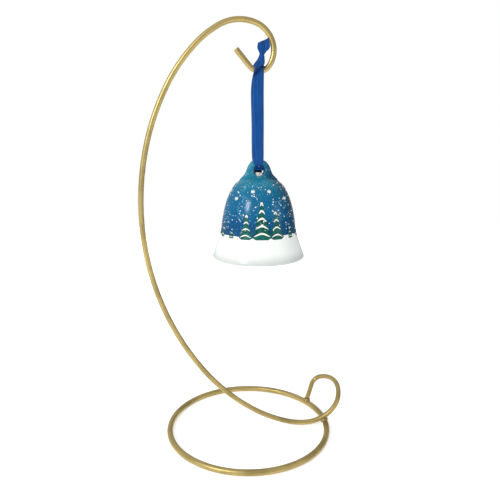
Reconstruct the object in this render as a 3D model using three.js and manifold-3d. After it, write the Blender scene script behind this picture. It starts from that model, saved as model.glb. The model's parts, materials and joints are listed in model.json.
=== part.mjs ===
// A painted porcelain bell that hangs by a satin ribbon from a bent-wire display stand.
// Units are millimetres and +Z is up. The stand rests on z = 0.
import Module from 'manifold-3d';
import * as THREE from 'three';
import { mergeVertices } from 'three/addons/utils/BufferGeometryUtils.js';

// ---------------------------------------------------------------- driving dimensions
const GAP = 0.3; // air between neighbouring pieces that would touch

// Wire stand: a round foot and one long bent wire.
const RING_RADIUS = 55; // centreline of the foot
const RING_WIRE = 4;
const ARM_WIRE = 3.5;
const ARM_LIFT = 0.3; // air under the arm's lowest point
const STEP_RADIUS = 26; // bend that lifts the arm over the foot
const STEP_HEADING = 41; // how steeply that bend ends, in degrees above level
// The arm from its lowest point to the hook: each bend's radius and the heading it ends on,
// in degrees from +X. It starts level, heading towards -X.
const ARM_BENDS = [
  [50, 165], [90, 148], [131, 128], [178.5, 78], [156, 62], [106, 45], [60, 28], // bow
  [26.5, -20], [17.8, -70], [16, -125], [7, -180], // hook, down to where the ribbon sits
];
const HOOK_LIP_RADIUS = 8.5; // the hook's last bend, beyond the ribbon's seat
const HOOK_LIP_HEADING = -230;
const HOOK_TIP = 12.3; // straight end of the wire
// The wire's other end: a raised loop outside the foot, closed onto the foot's top.
const TAIL_BENDS = [[14.3, 57], [26.5, 81]]; // radius and turn of its first two bends
const TAIL_CORNER = 5.9; // bend before its last straight leg
const TAIL_ANGLE = 31.7; // where it meets the foot, around Z
const TAIL_LEAN = 75; // how high on the foot's wire it meets it
const TAIL_SEAT = 1.4; // wire axis above the foot's surface at the tail's end
const WELD_SIZE = [3.6, 3.2, 2.6]; // half sizes of a brazed joint, along X, Y and Z
const TAIL_WELD_RISE = 0.6; // middle of the tail's joint, as a share of the way from the foot's axis

// Ribbon: one satin ribbon, knotted over the hook and looped through the bell.
const RIBBON_THICKNESS = 0.8;
const RIBBON_WIDTH = 7.7; // at the top of the long strands
const RIBBON_WAIST = 7; // at the bell
const RIBBON_DROP = 60.8; // hook seat to the middle of the bell's hole
const HANG_OFFSET = -0.5; // hanging line, from the hook's seat
const STRAND_SHIFT = -0.5; // long strands' middle, from the hanging line
const YOKE_ROOM = 0.65; // air between the wire and each strand
const YOKE_DROP = 5.2; // strands held by the knot, below the wire's axis
const KNOT_SIZE = [3.1, 2.9, 2.8]; // half sizes
const KNOT_RISE = 7; // knot's middle above the wire's axis
const KNOT_SHIFT = 1.4; // knot's middle from the hanging line
const TAIL_END_RISE = 19.6; // the longer cut corner above the wire's axis
const TAIL_END_DIP = 3.4; // how much lower the shorter corner is
const TAIL_END_LEFT = -1; // the cut's two corners from the hanging line
const TAIL_END_RIGHT = 5.6;
const TAIL_END_ROOT = 1.9; // half width of a cut end where it leaves the knot
const TAIL_END_SLANT = 1.2; // how far the right edge slants in at the cut
const TAIL_END_CURL = 0.2; // how far the left edge bows out
const RIBBON_END_PITCH = 1.4; // spacing of the two cut ends

// Bell: one porcelain casting. Heights are above the mouth's edge.
const MOUTH_RADIUS = 30.2;
const WAIST_RADIUS = 23.8;
const WAIST_HEIGHT = 23.4;
const SHOULDER_RADIUS = 17.5;
const SHOULDER_HEIGHT = 44.5;
const CROWN_HEIGHT = 53.2;
const CROWN_BULGE = [0.55, 0.9]; // the crown curve's two handles, as shares of SHOULDER_RADIUS
const SHOULDER_HANDLE = 5; // how far each curve's handles reach along it, in height
const WAIST_HANDLE = [1.1, 8, 9]; // inwards, above and below the waist
const LIP_HANDLE = [2.9, 8]; // inwards and above the lip
const WALL = 2.8;
const LUG_HOLE_RADIUS = 3.25;
const LUG_HOLE_FLOOR = 0.2; // hole's lowest point above the crown
const LUG_RADIUS = 6.7; // from the hole's middle to the lug's top
const LUG_SHOULDER = 6.6; // half width at the height of the hole's top
const LUG_SHOULDER_RISE = 0.45; // that height above the hole's middle, as a share of LUG_RADIUS
const LUG_CORNER = [0.6, 0.9]; // a place near its top, as shares of LUG_SHOULDER and LUG_RADIUS
const LUG_FOOT = 9.1; // half width just above its flared foot
const LUG_FOOT_DROP = 2.6; // that place, below the hole's middle
const LUG_FLARE = 3; // how far the foot spreads and sinks into the crown
const LUG_THICKNESS = 7;
const LUG_EDGE = 1.3; // rounding of the lug's edges
const HOLE_FLARE = 0.7; // rounding of the hole's two ends
const CORD_BORE = 2.6; // hole through the crown for the clapper's cord

// Clapper: a bead on a cord that is knotted above the crown.
const CORD = 1.6;
const CORD_NECK = 4; // cord's top, which turns in the crown
const CORD_FLEX = 0.6; // air below it, where the cord bends as the bead swings
const CORD_LENGTH = 35.5; // crown to bead's middle
const BEAD_RADIUS = 5.5;
const BEAD_BORE = 2.4;
const STOP_RADIUS = 1.9; // knot under the bead
const TOP_KNOT_SIZE = [2.3, 2.1, 1.8]; // half sizes
const KNOT_ROOM = 0.43; // air between that knot and the ribbon's bend in the lug's hole

// Fineness of the faceted surfaces.
const WIRE_SIDES = 12;
const TURN_STEP = 8; // degrees of bend for each step along a wire
const LENGTH_STEP = 9; // longest step along a wire
const BELL_SIDES = 44;
const BALL_SIDES = 16;
const BEAD_SIDES = 20;
const RING_SIDES = 72;
const HOLE_SIDES = 24;
const CORD_SIDES = 8;
const CURVE_STEPS = 6; // along each of the bell's curves
const LUG_STEPS = 28;
const BUNCH_STEPS = 8; // round the ribbon's bend in the lug's hole
const LIP_STEPS = 5;

const rad = THREE.MathUtils.degToRad;
const wasm = await Module();
wasm.setup();

// ---------------------------------------------------------------- solids
// A closed geometry as a solid, with its faces turned outwards.
function solidOf(geometry) {
  const bare = geometry.clone();
  bare.deleteAttribute('normal');
  bare.deleteAttribute('uv');
  const merged = mergeVertices(bare, 1e-4);
  const vertProperties = Float32Array.from(merged.attributes.position.array);
  const triVerts = Uint32Array.from(merged.index.array);
  const solid = new wasm.Manifold(new wasm.Mesh({ numProp: 3, vertProperties, triVerts }));
  if (solid.volume() > 0) return solid;
  triVerts.reverse();
  return new wasm.Manifold(new wasm.Mesh({ numProp: 3, vertProperties, triVerts }));
}

function geometryOf(solid) {
  const mesh = solid.getMesh();
  const geometry = new THREE.BufferGeometry();
  geometry.setAttribute('position', new THREE.BufferAttribute(mesh.vertProperties, 3));
  geometry.setIndex(new THREE.BufferAttribute(mesh.triVerts, 1));
  geometry.computeVertexNormals();
  return geometry;
}

function piece(name, solid, colour, roughness, metalness) {
  const material = new THREE.MeshStandardMaterial({ color: colour, roughness, metalness });
  const mesh = new THREE.Mesh(geometryOf(solid), material);
  mesh.name = name;
  return mesh;
}

// A ball stretched to three half sizes.
function ball(halfSizes, centre, sides = BALL_SIDES) {
  const geometry = new THREE.SphereGeometry(1, sides, sides / 2);
  geometry.scale(...halfSizes);
  geometry.translate(centre.x, centre.y, centre.z);
  return solidOf(geometry);
}

// A profile of Vector2(radius, height), turned about Z.
function turned(profile, sides = BELL_SIDES) {
  const geometry = new THREE.LatheGeometry(profile, sides);
  geometry.rotateX(Math.PI / 2);
  return solidOf(geometry);
}

// An outline of Vector2(x, z), given a depth along Y and centred on it.
function plate(outline, depth, edge = 0) {
  const geometry = new THREE.ExtrudeGeometry(new THREE.Shape(outline), {
    depth: depth - 2 * edge,
    bevelEnabled: edge > 0,
    bevelThickness: edge,
    bevelSize: edge,
    bevelOffset: -edge,
    bevelSegments: 3,
    curveSegments: 8,
  });
  geometry.translate(0, 0, edge - depth / 2);
  geometry.rotateX(Math.PI / 2);
  return solidOf(geometry);
}

// ---------------------------------------------------------------- bent wire
// A wire's round section, with flats at the stated diameter.
function wireSection(diameter) {
  const corner = diameter / 2 / Math.cos(Math.PI / WIRE_SIDES);
  const section = [];
  for (let i = 0; i < WIRE_SIDES; i += 1) {
    const angle = ((i + 0.5) / WIRE_SIDES) * 2 * Math.PI;
    section.push(new THREE.Vector2(corner * Math.cos(angle), corner * Math.sin(angle)));
  }
  return section;
}

// A solid wire along points, with one step for each point, so that bends get most of them.
function wire(points, diameter) {
  const route = new THREE.CatmullRomCurve3(points, false, 'centripetal');
  route.getUtoTmapping = (u) => u;
  const section = new THREE.Shape(wireSection(diameter));
  const settings = { steps: points.length - 1, extrudePath: route, bevelEnabled: false };
  return solidOf(new THREE.ExtrudeGeometry(section, settings));
}

// A bend in a plane, from a place and a heading in degrees to a new heading.
// Returns the points after the start.
function bend(start, heading, radius, endHeading) {
  const turn = endHeading - heading;
  const side = Math.sign(turn);
  const steps = Math.ceil(Math.max(Math.abs(turn) / TURN_STEP, (radius * rad(Math.abs(turn))) / LENGTH_STEP));
  const place = (h) => new THREE.Vector2(Math.sin(rad(h)), -Math.cos(rad(h))).multiplyScalar(side * radius);
  const centre = start.clone().sub(place(heading));
  const points = [];
  for (let i = 1; i <= steps; i += 1) points.push(place(heading + (turn * i) / steps).add(centre));
  return points;
}

function straight(start, end) {
  const steps = Math.ceil(start.distanceTo(end) / LENGTH_STEP);
  return Array.from({ length: steps }, (_, i) => start.clone().lerp(end, (i + 1) / steps));
}

const last = (list) => list[list.length - 1];
const inArmPlane = (p) => new THREE.Vector3(p.x, 0, p.y);

// The arm's lowest point, placed so that the bend beyond it clears the foot's wire by GAP.
const ringHeight = RING_WIRE / 2;
const bellyHeight = ARM_WIRE / 2 + ARM_LIFT;
const wiresApart = RING_WIRE / 2 + ARM_WIRE / 2 + GAP;
const stepLevel = STEP_RADIUS + bellyHeight - ringHeight;
const belly = new THREE.Vector2(
  RING_RADIUS - Math.sqrt((STEP_RADIUS + wiresApart) ** 2 - stepLevel ** 2),
  bellyHeight,
);

// From the belly up the bow and round the hook.
const armPoints = [belly];
let heading = 180;
for (const [radius, endHeading] of ARM_BENDS) {
  armPoints.push(...bend(last(armPoints), heading, radius, endHeading));
  heading = endHeading;
}
const seat = inArmPlane(last(armPoints)); // the hook's lowest point, where the ribbon hangs
armPoints.push(...bend(last(armPoints), heading, HOOK_LIP_RADIUS, HOOK_LIP_HEADING));
const tipHeading = rad(HOOK_LIP_HEADING);
const tipStep = new THREE.Vector2(Math.cos(tipHeading), Math.sin(tipHeading)).multiplyScalar(HOOK_TIP);
armPoints.push(...straight(last(armPoints), last(armPoints).clone().add(tipStep)));

// From the belly the other way, up over the foot.
const stepPoints = bend(belly, 0, STEP_RADIUS, STEP_HEADING);
const tailStart = inArmPlane(last(stepPoints));
const tailForward = new THREE.Vector3(Math.cos(rad(STEP_HEADING)), 0, Math.sin(rad(STEP_HEADING)));

// The place on the foot that the tail ends over, and the plane through it and the tail's start.
const tailReach = RING_WIRE / 2 + TAIL_SEAT;
const tailRadius = RING_RADIUS + tailReach * Math.cos(rad(TAIL_LEAN));
const tailEnd = new THREE.Vector3(
  tailRadius * Math.cos(rad(TAIL_ANGLE)),
  tailRadius * Math.sin(rad(TAIL_ANGLE)),
  ringHeight + tailReach * Math.sin(rad(TAIL_LEAN)),
);
const tailChord = tailEnd.clone().sub(tailStart);
const chordAlong = tailChord.dot(tailForward);
const tailSide = tailChord.clone().addScaledVector(tailForward, -chordAlong);
const chordAcross = tailSide.length();
tailSide.normalize();

// In that plane: two free bends, then a corner that turns until it faces the tail's end.
const tailPoints = [new THREE.Vector2(0, 0)];
heading = 0;
for (const [radius, turn] of TAIL_BENDS) {
  tailPoints.push(...bend(last(tailPoints), heading, radius, heading + turn));
  heading += turn;
}
const cornerCentre = new THREE.Vector2(-Math.sin(rad(heading)), Math.cos(rad(heading)))
  .multiplyScalar(TAIL_CORNER)
  .add(last(tailPoints));
const flatEnd = new THREE.Vector2(chordAlong, chordAcross);
const toEnd = flatEnd.clone().sub(cornerCentre);
const facing = Math.atan2(toEnd.y, toEnd.x) + Math.asin(TAIL_CORNER / toEnd.length());
const facingHeading = THREE.MathUtils.radToDeg(facing + (facing < rad(heading) ? 2 * Math.PI : 0));
tailPoints.push(...bend(last(tailPoints), heading, TAIL_CORNER, facingHeading));
tailPoints.push(...straight(last(tailPoints), flatEnd));
const onTailPlane = (p) =>
  tailStart.clone().addScaledVector(tailForward, p.x).addScaledVector(tailSide, p.y);

const armRoute = [
  ...tailPoints.slice(1).reverse().map(onTailPlane),
  ...stepPoints.reverse().map(inArmPlane),
  ...armPoints.map(inArmPlane),
];

const ringProfile = (diameter) => {
  const section = wireSection(diameter).map((p) => p.add(new THREE.Vector2(RING_RADIUS, ringHeight)));
  return [...section, section[0].clone()];
};
const ring = (diameter) => turned(ringProfile(diameter), RING_SIDES);

const wireEndRoom = Array(3).fill(ARM_WIRE / 2 + GAP);

// A brazed joint: a low mound round the place where two wires meet, kept clear of both.
function weld(centre) {
  return ball(WELD_SIZE, centre)
    .subtract(ring(RING_WIRE + 2 * GAP))
    .subtract(wire(armRoute, ARM_WIRE + 2 * GAP))
    .subtract(ball(wireEndRoom, tailEnd))
    .decompose()
    .reduce((most, part) => (part.volume() > most.volume() ? part : most));
}
const crossingHeading = Math.acos(stepLevel / (STEP_RADIUS + wiresApart));
const crossing = new THREE.Vector3(
  RING_RADIUS - (wiresApart / 2) * Math.sin(crossingHeading),
  0,
  ringHeight + (wiresApart / 2) * Math.cos(crossingHeading),
);
const tailFoot = new THREE.Vector3(
  RING_RADIUS * Math.cos(rad(TAIL_ANGLE)),
  RING_RADIUS * Math.sin(rad(TAIL_ANGLE)),
  ringHeight,
).lerp(tailEnd, TAIL_WELD_RISE);

// ---------------------------------------------------------------- ribbon
const hangX = seat.x + HANG_OFFSET;
const holeZ = seat.z - RIBBON_DROP;
const topKnotZ = holeZ - LUG_HOLE_RADIUS + GAP + TOP_KNOT_SIZE[2];
const yokeInside = ARM_WIRE / 2 + YOKE_ROOM;
const yokeOutside = yokeInside + RIBBON_THICKNESS;
const yokeFoot = seat.z - YOKE_DROP;
const knotCentre = new THREE.Vector3(hangX + KNOT_SHIFT, 0, seat.z + KNOT_RISE);

// An outline of Vector2(y, z), given a width along X and centred on hangX.
function sideways(outline, width) {
  const geometry = plate(outline, width);
  return geometry.rotate([0, 0, 90]).translate([hangX, 0, 0]);
}

// The two short strands that straddle the wire and lean together into the knot.
function yoke() {
  const shoulder = seat.z + ARM_WIRE / 2;
  const apex = knotCentre.z - KNOT_SIZE[2] / 2;
  const outline = [
    new THREE.Vector2(-yokeOutside, yokeFoot),
    new THREE.Vector2(-yokeInside, yokeFoot),
    new THREE.Vector2(-yokeInside, shoulder),
    new THREE.Vector2(0, apex),
    new THREE.Vector2(yokeInside, shoulder),
    new THREE.Vector2(yokeInside, yokeFoot),
    new THREE.Vector2(yokeOutside, yokeFoot),
    new THREE.Vector2(yokeOutside, shoulder),
    new THREE.Vector2(RIBBON_THICKNESS, apex + RIBBON_THICKNESS),
    new THREE.Vector2(-RIBBON_THICKNESS, apex + RIBBON_THICKNESS),
    new THREE.Vector2(-yokeOutside, shoulder),
  ];
  return sideways(outline, RIBBON_WAIST);
}

// One cut end, fanned out above the knot.
function ribbonEnd(side) {
  const root = knotCentre.z + KNOT_SIZE[2] + GAP;
  const top = seat.z + TAIL_END_RISE;
  const outline = [
    new THREE.Vector2(knotCentre.x - TAIL_END_ROOT, root),
    new THREE.Vector2(knotCentre.x + TAIL_END_ROOT, root),
    new THREE.Vector2(hangX + TAIL_END_RIGHT, top - TAIL_END_DIP),
    new THREE.Vector2(hangX + TAIL_END_RIGHT - TAIL_END_SLANT, top),
    new THREE.Vector2(hangX + TAIL_END_LEFT, top - TAIL_END_DIP),
    new THREE.Vector2(hangX + TAIL_END_LEFT - TAIL_END_CURL, top - 2 * TAIL_END_DIP),
  ];
  return plate(outline, RIBBON_THICKNESS).translate([0, (side * RIBBON_END_PITCH) / 2, 0]);
}

// The two long strands and the gathered bend that carries the bell's lug.
function ribbonLoop() {
  const top = yokeFoot - GAP;
  const inside = LUG_THICKNESS / 2 + GAP;
  const middle = inside + RIBBON_THICKNESS / 2;
  const topMiddle = (yokeInside + yokeOutside) / 2;
  const bendReach = LUG_HOLE_RADIUS - GAP;
  const bendRise = topKnotZ + TOP_KNOT_SIZE[2] + KNOT_ROOM - holeZ;
  const lugTop = holeZ + LUG_RADIUS;
  const front = [
    new THREE.Vector2(-RIBBON_WIDTH / 2, top),
    new THREE.Vector2(-RIBBON_WAIST / 2, lugTop),
    new THREE.Vector2(-bendReach - STRAND_SHIFT, holeZ + bendRise),
    new THREE.Vector2(bendReach - STRAND_SHIFT, holeZ + bendRise),
    new THREE.Vector2(RIBBON_WAIST / 2, lugTop),
    new THREE.Vector2(RIBBON_WIDTH / 2, top),
  ];
  const faces = plate(front, 4 * middle).translate([hangX + STRAND_SHIFT, 0, 0]);
  const half = RIBBON_THICKNESS / 2;
  const strand = (side) => [
    new THREE.Vector2(side * (topMiddle - half), top + 1),
    new THREE.Vector2(side * (topMiddle + half), top + 1),
    new THREE.Vector2(side * (middle + half), lugTop),
    new THREE.Vector2(side * (middle + half), holeZ),
    new THREE.Vector2(side * (middle - half), holeZ),
    new THREE.Vector2(side * (middle - half), lugTop),
  ];
  const gathered = [];
  const low = Math.asin(bendRise / bendReach);
  for (let i = 0; i <= BUNCH_STEPS; i += 1) {
    const angle = low + ((Math.PI - 2 * low) * i) / BUNCH_STEPS;
    gathered.push(new THREE.Vector2(bendReach * Math.cos(angle), bendReach * Math.sin(angle)));
  }
  const across = plate(gathered, 2 * (middle + half)).translate([hangX, 0, holeZ]);
  return sideways(strand(1), 2 * RIBBON_WIDTH)
    .add(sideways(strand(-1).reverse(), 2 * RIBBON_WIDTH))
    .intersect(faces)
    .add(across);
}

// ---------------------------------------------------------------- bell
const mouthZ = holeZ - LUG_HOLE_RADIUS - LUG_HOLE_FLOOR - CROWN_HEIGHT;

// The outside from the crown down to the lip, as radius and height above the mouth.
function bellOutside() {
  const [waistIn, waistAbove, waistBelow] = WAIST_HANDLE;
  const outline = new THREE.Path();
  outline.moveTo(0, CROWN_HEIGHT);
  outline.bezierCurveTo(
    CROWN_BULGE[0] * SHOULDER_RADIUS, CROWN_HEIGHT,
    CROWN_BULGE[1] * SHOULDER_RADIUS, (CROWN_HEIGHT + SHOULDER_HEIGHT) / 2,
    SHOULDER_RADIUS, SHOULDER_HEIGHT,
  );
  outline.bezierCurveTo(
    (SHOULDER_RADIUS + WAIST_RADIUS) / 2, SHOULDER_HEIGHT - SHOULDER_HANDLE,
    WAIST_RADIUS - waistIn, WAIST_HEIGHT + waistAbove,
    WAIST_RADIUS, WAIST_HEIGHT,
  );
  outline.bezierCurveTo(
    WAIST_RADIUS + waistIn, WAIST_HEIGHT - waistBelow,
    MOUTH_RADIUS - LIP_HANDLE[0], WALL / 2 + LIP_HANDLE[1],
    MOUTH_RADIUS, WALL / 2,
  );
  return outline.getPoints(CURVE_STEPS);
}

// The inside runs WALL inside the outside, and is given from the crown down.
function bellInside(outside) {
  return outside.map((p, i) => {
    const before = outside[Math.max(i - 1, 0)];
    const after = outside[Math.min(i + 1, outside.length - 1)];
    const along = after.clone().sub(before).normalize();
    if (i === 0) return new THREE.Vector2(0, p.y - WALL);
    if (i === outside.length - 1) return new THREE.Vector2(p.x - WALL, p.y);
    return new THREE.Vector2(p.x + along.y * WALL, p.y - along.x * WALL);
  });
}

function bellShell() {
  const outside = bellOutside();
  const inside = bellInside(outside);
  const lip = [];
  for (let i = 1; i < LIP_STEPS; i += 1) {
    const angle = (-Math.PI * i) / LIP_STEPS;
    const centre = MOUTH_RADIUS - WALL / 2;
    lip.push(new THREE.Vector2(centre + (WALL / 2) * Math.cos(angle), (WALL / 2) * (1 + Math.sin(angle))));
  }
  const wall = turned([...outside, ...lip, ...inside.slice().reverse()]);
  const cavity = turned([...inside, new THREE.Vector2(0, last(inside).y)]);
  const holeHeight = holeZ - mouthZ;
  const lug = plate(lugOutline(holeHeight), LUG_THICKNESS, LUG_EDGE).subtract(cavity);
  return wall.add(lug).subtract(lugHole(holeHeight)).subtract(cordBore()).translate([hangX, 0, mouthZ]);
}

// The lug's rounded arch, which spreads into the crown below the hole.
function lugOutline(holeHeight) {
  const rightHalf = [
    new THREE.Vector2(LUG_FOOT + LUG_FLARE, holeHeight - LUG_FOOT_DROP - LUG_FLARE),
    new THREE.Vector2(LUG_FOOT, holeHeight - LUG_FOOT_DROP),
    new THREE.Vector2((LUG_FOOT + LUG_SHOULDER) / 2, holeHeight),
    new THREE.Vector2(LUG_SHOULDER, holeHeight + LUG_SHOULDER_RISE * LUG_RADIUS),
    new THREE.Vector2(LUG_CORNER[0] * LUG_SHOULDER, holeHeight + LUG_CORNER[1] * LUG_RADIUS),
    new THREE.Vector2(0, holeHeight + LUG_RADIUS),
  ];
  const leftHalf = rightHalf.slice(0, -1).reverse().map((p) => new THREE.Vector2(-p.x, p.y));
  const curve = new THREE.SplineCurve([...rightHalf, ...leftHalf]).getPoints(LUG_STEPS);
  const root = holeHeight - LUG_FOOT_DROP - 2 * LUG_FLARE;
  const spread = LUG_FOOT + LUG_FLARE;
  return [new THREE.Vector2(spread, root), ...curve, new THREE.Vector2(-spread, root)];
}

// The hole through the lug, flared at both faces.
function lugHole(holeHeight) {
  const half = LUG_THICKNESS / 2;
  const profile = [
    new THREE.Vector2(0, -half - 1),
    new THREE.Vector2(LUG_HOLE_RADIUS + HOLE_FLARE, -half - 1),
    new THREE.Vector2(LUG_HOLE_RADIUS + HOLE_FLARE, -half),
    new THREE.Vector2(LUG_HOLE_RADIUS, -half + 1.5 * HOLE_FLARE),
    new THREE.Vector2(LUG_HOLE_RADIUS, half - 1.5 * HOLE_FLARE),
    new THREE.Vector2(LUG_HOLE_RADIUS + HOLE_FLARE, half),
    new THREE.Vector2(LUG_HOLE_RADIUS + HOLE_FLARE, half + 1),
    new THREE.Vector2(0, half + 1),
  ];
  return turned(profile, HOLE_SIDES).rotate([90, 0, 0]).translate([0, 0, holeHeight]);
}

function cordBore() {
  const geometry = new THREE.CylinderGeometry(CORD_BORE / 2, CORD_BORE / 2, 4 * WALL, BALL_SIDES);
  geometry.rotateX(Math.PI / 2);
  geometry.translate(0, 0, CROWN_HEIGHT - WALL);
  return solidOf(geometry);
}

// ---------------------------------------------------------------- clapper
const ceilingZ = mouthZ + CROWN_HEIGHT - WALL; // underside of the crown
const hangingLine = (z) => new THREE.Vector3(hangX, 0, z);

function cord(fromZ, toZ, diameter = CORD) {
  const geometry = new THREE.CylinderGeometry(diameter / 2, diameter / 2, fromZ - toZ, CORD_SIDES);
  geometry.rotateX(Math.PI / 2);
  geometry.translate(hangX, 0, (fromZ + toZ) / 2);
  return solidOf(geometry);
}

// The knot in the lug's hole, and the stretch of cord that fills the crown's bore.
const topKnot = ball(TOP_KNOT_SIZE, hangingLine(topKnotZ)).add(cord(topKnotZ, ceilingZ + GAP));
const neckBottom = ceilingZ - CORD_NECK;
const beadZ = ceilingZ - CORD_LENGTH;
const stopZ = beadZ - Math.sqrt(BEAD_RADIUS ** 2 - (BEAD_BORE / 2) ** 2) - STOP_RADIUS;
const bead = ball([BEAD_RADIUS, BEAD_RADIUS, BEAD_RADIUS], hangingLine(beadZ), BEAD_SIDES)
  .subtract(cord(beadZ + 2 * BEAD_RADIUS, beadZ - 2 * BEAD_RADIUS, BEAD_BORE));
const cordBottom = stopZ + STOP_RADIUS + GAP;
const stop = ball([STOP_RADIUS, STOP_RADIUS, STOP_RADIUS], hangingLine(stopZ));

// ---------------------------------------------------------------- assembly
const GOLD = 0xb09a5c;
const SATIN = 0x17509c;
const CORD_WHITE = 0xf2eee0;

const standGroup = new THREE.Group();
standGroup.add(
  piece('base_ring', ring(RING_WIRE), GOLD, 0.38, 0.9),
  piece('arm_wire', wire(armRoute, ARM_WIRE), GOLD, 0.38, 0.9),
  piece('arm_weld', weld(crossing), GOLD, 0.5, 0.85),
  piece('tail_weld', weld(tailFoot), GOLD, 0.5, 0.85),
);

const ribbonGroup = new THREE.Group();
ribbonGroup.add(
  piece('ribbon_knot', ball(KNOT_SIZE, knotCentre).add(yoke()), SATIN, 0.45, 0),
  piece('ribbon_tail_front', ribbonEnd(-1), SATIN, 0.45, 0),
  piece('ribbon_tail_back', ribbonEnd(1), SATIN, 0.45, 0),
  piece('ribbon_loop', ribbonLoop(), SATIN, 0.45, 0),
);

const bellGroup = new THREE.Group();
bellGroup.add(
  piece('bell_shell', bellShell(), 0x2b6fa5, 0.15, 0),
  piece('clapper_knot', topKnot, CORD_WHITE, 0.8, 0),
  piece('clapper_cord_neck', cord(ceilingZ, neckBottom), CORD_WHITE, 0.8, 0),
  piece('clapper_cord', cord(neckBottom - CORD_FLEX, cordBottom), CORD_WHITE, 0.8, 0),
  piece('clapper_bead', bead, 0xf4f1e8, 0.2, 0),
  piece('clapper_stop', stop, CORD_WHITE, 0.8, 0),
);

// The origin is on the table, under the middle of the whole piece's box.
const ornament = new THREE.Group();
ornament.add(standGroup, ribbonGroup, bellGroup);
const box = new THREE.Box3().setFromObject(ornament, true);
ornament.position.set(-(box.min.x + box.max.x) / 2, -(box.min.y + box.max.y) / 2, -box.min.z);

export default ornament;
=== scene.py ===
# Finished look of a painted porcelain bell that hangs by a satin ribbon from a bent gold wire stand.
# Shapes are worked out in millimetres and become metres when a mesh is made.
import json
import math
import random

import bmesh
import bpy
import numpy as np
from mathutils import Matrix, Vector, noise


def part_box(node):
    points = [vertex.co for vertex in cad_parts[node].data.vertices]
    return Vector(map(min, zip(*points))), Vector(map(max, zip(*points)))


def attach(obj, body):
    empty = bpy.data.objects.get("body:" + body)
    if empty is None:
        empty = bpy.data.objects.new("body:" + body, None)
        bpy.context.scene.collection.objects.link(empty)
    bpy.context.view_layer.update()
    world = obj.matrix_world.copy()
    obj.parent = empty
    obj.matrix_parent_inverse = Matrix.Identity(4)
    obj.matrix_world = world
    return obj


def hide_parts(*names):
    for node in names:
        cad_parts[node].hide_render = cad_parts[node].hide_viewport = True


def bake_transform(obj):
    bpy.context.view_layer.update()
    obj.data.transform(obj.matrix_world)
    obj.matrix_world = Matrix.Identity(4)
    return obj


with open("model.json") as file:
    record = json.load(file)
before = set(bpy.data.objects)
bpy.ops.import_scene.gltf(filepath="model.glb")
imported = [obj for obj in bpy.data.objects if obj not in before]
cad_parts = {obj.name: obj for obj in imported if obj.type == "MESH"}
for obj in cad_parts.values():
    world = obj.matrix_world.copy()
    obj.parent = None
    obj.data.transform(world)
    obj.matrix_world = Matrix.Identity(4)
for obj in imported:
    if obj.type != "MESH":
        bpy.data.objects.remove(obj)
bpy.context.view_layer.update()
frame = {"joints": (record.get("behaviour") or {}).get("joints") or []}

MM = 0.001

# ---------------------------------------------------------------- places, from the frame
joint_place = {j["name"]: np.array(j["pos_m"]) / MM for j in frame["joints"]}
SEAT = joint_place["ribbon_swing"]  # the hook's lowest point
HOLE = joint_place["bell_rock"]  # middle of the lug's hole
HANG_X = HOLE[0]


def node_middle(name):
    low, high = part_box(name)
    return np.array((low + high) / 2) / MM


RING_MIDDLE = node_middle("base_ring")
KNOT_MIDDLE = node_middle("clapper_knot")
BEAD_MIDDLE = node_middle("clapper_bead")
STOP_MIDDLE = node_middle("clapper_stop")
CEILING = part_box("clapper_cord_neck")[1].z / MM

# ---------------------------------------------------------------- sizes
RING_RADIUS = 55
RING_WIRE = 4
ARM_WIRE = 3.5
ARM_LIFT = 0.3
WIRE_GAP = 0.3
STEP_RADIUS = 26
STEP_HEADING = 41
ARM_BENDS = [
    (50, 165), (90, 148), (131, 128), (178.5, 78), (156, 62), (106, 45), (60, 28),
    (26.5, -20), (17.8, -70), (16, -125), (7, -180), (8.5, -230),
]
HOOK_TIP = 12.3
TAIL_BENDS = [(14.3, 57), (26.5, 81)]
TAIL_CORNER = 5.9
TAIL_ANGLE = 31.7
TAIL_LEAN = 75
TAIL_SEAT = 1.4
TURN_STEP = 2.5
WIRE_SIDES = 28

MOUTH_RADIUS = 30.2
WAIST_RADIUS = 23.8
WAIST_HEIGHT = 23.4
SHOULDER_RADIUS = 17.5
SHOULDER_HEIGHT = 44.5
CROWN_HEIGHT = 53.2
WALL = 2.8
HOLE_RADIUS = 3.25
HOLE_FLOOR = 0.2
LUG_RADIUS = 6.7
LUG_SHOULDER = 6.6
LUG_FOOT = 9.1
LUG_FOOT_DROP = 2.6
LUG_FLARE = 3
LUG_THICKNESS = 7
LUG_EDGE = 1.3
HOLE_FLARE = 0.7
BORE_RADIUS = 1.3
MOUTH_Z = HOLE[2] - HOLE_RADIUS - HOLE_FLOOR - CROWN_HEIGHT

RIBBON = 0.4  # thickness of the satin
CORD = 1.6
BEAD_RADIUS = 5.5
BEAD_BORE = 1.2

rad = math.radians


# ---------------------------------------------------------------- camera
def make_camera():
    data = bpy.data.cameras.new("camera")
    data.lens = 37.44
    data.sensor_width = 36
    data.clip_start = 0.01
    camera = bpy.data.objects.new("camera", data)
    bpy.context.scene.collection.objects.link(camera)
    camera.location = Vector((RING_MIDDLE[0] - 24.141, -335.735, 199.01)) * MM
    camera.rotation_euler = (rad(90 - 11.65), 0, rad(-4.3))
    bpy.context.scene.camera = camera


make_camera()


# ---------------------------------------------------------------- shader groups and helpers
def add_node(tree, kind, **values):
    """A node of that kind. A value is set on the input or the property of that name."""
    node = tree.nodes.new(kind)
    for name, value in values.items():
        if hasattr(node, name):
            setattr(node, name, value)
        else:
            node.inputs[name.replace("_", " ")].default_value = value
    return node


def wire_up(tree, source, target):
    tree.links.new(source, target)


def math_node(tree, operation, first, second=None, third=None):
    node = tree.nodes.new("ShaderNodeMath")
    node.operation = operation
    for socket, value in zip(node.inputs, (first, second, third)):
        if value is None:
            continue
        if isinstance(value, (int, float)):
            socket.default_value = value
        else:
            tree.links.new(value, socket)
    return node.outputs[0]


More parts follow.
